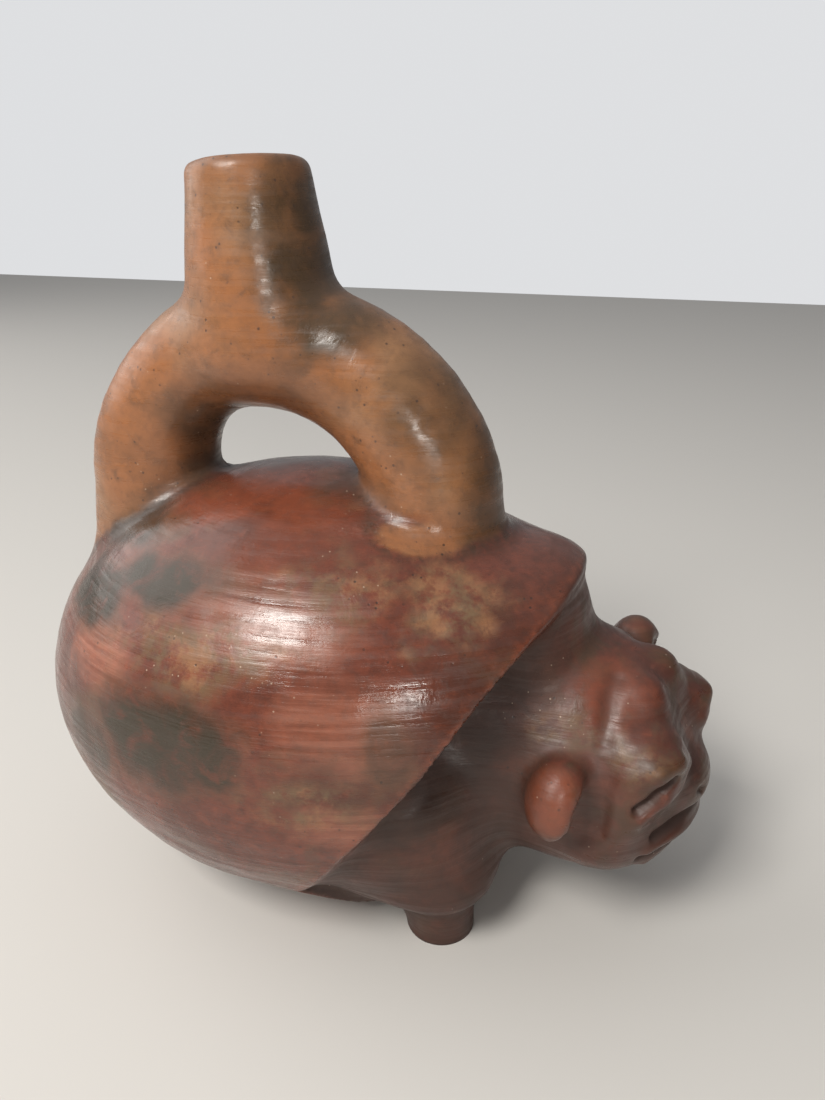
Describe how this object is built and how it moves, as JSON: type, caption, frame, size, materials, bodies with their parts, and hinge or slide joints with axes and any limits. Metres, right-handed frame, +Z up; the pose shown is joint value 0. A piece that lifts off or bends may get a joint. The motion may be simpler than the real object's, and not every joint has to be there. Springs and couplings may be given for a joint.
{
  "type": "stirrup spout vessel",
  "caption": "Hollow fired-clay animal vessel with a shell-like back, a stirrup handle and a short spout on its crown.",
  "frame": {"origin": "middle of the flat spot under the belly, on the surface that the vessel stands on", "axes": "+X the way the animal faces, +Y its left side, +Z up through the spout"},
  "size_m": [0.2013, 0.1348, 0.2064],
  "materials": {
    "burnished_clay": null
  },
  "bodies": {
    "root": {"vessel": "burnished_clay"}
  },
  "joints": []
}
